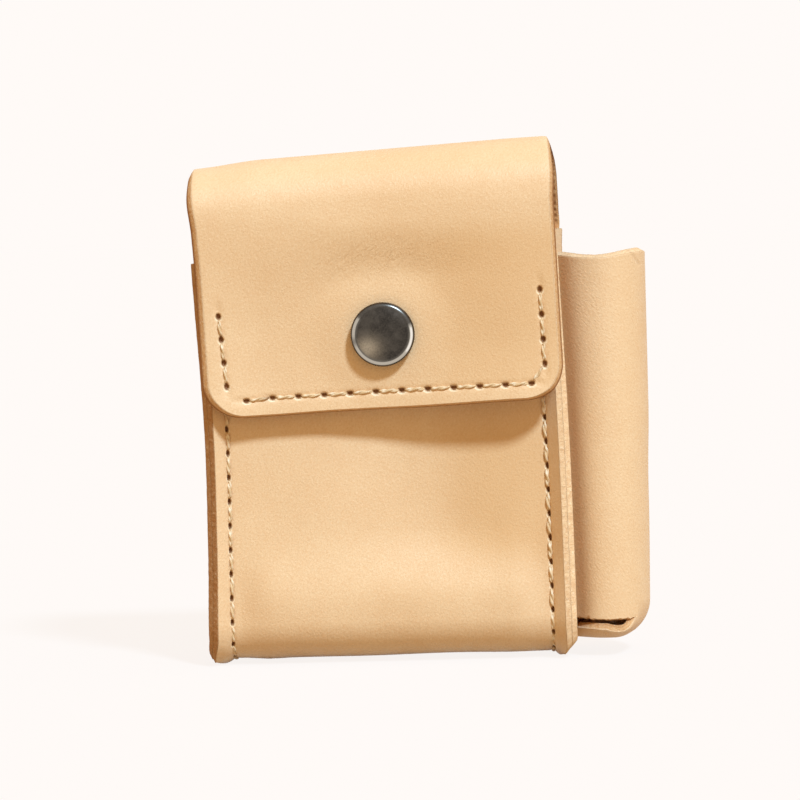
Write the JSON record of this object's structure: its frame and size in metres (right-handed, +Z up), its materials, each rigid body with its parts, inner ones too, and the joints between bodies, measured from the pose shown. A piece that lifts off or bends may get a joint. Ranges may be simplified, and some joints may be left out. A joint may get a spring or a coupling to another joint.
{
  "type": "cigarette pouch",
  "caption": "Sewn leather pouch for a cigarette pack, with a round-cornered snap flap, flared saddle-stitched rims and a tube pocket for a lighter at its side.",
  "frame": {"origin": "under the middle of the overall box, on the ground that the sewn rims stand on", "axes": "+X towards the lighter pocket, -Y the way the flap faces, +Z up"},
  "size_m": [0.089, 0.0362, 0.1024],
  "materials": {
    "grain_leather": "natural vegetable-tanned grain, lightly waxed",
    "lining_leather": "thinner leather, flesh side out",
    "waxed_thread": "waxed twisted linen",
    "dark_nickel": "polished black nickel plate",
    "spring_steel": "bright drawn wire"
  },
  "bodies": {
    "pouch": {"body_panel": "grain_leather", "gusset_left": "grain_leather", "gusset_right": "grain_leather", "lighter_pocket": "grain_leather", "seam_thread_left": "waxed_thread", "seam_thread_right": "waxed_thread", "pocket_thread_front": "waxed_thread", "pocket_thread_rear": "waxed_thread", "snap_stud": "dark_nickel", "snap_post": "dark_nickel"},
    "roof": {"flap_roof": "grain_leather"},
    "flap": {"flap_front": "grain_leather", "flap_lining": "lining_leather", "flap_thread": "waxed_thread", "snap_cap": "dark_nickel", "snap_socket": "dark_nickel", "snap_spring_ring": "spring_steel"}
  },
  "joints": [
    {"name": "roof_lift", "type": "hinge", "parent": "pouch", "child": "roof", "pos_m": [-0.00796, 0.01441, 0.10006], "axis": [-1, 0, 0], "range_deg": [0, 110]},
    {"name": "flap_unfold", "type": "hinge", "parent": "roof", "child": "flap", "pos_m": [-0.00796, -0.01312, 0.09947], "axis": [-1, 0, 0], "range_deg": [0, 80]}
  ]
}
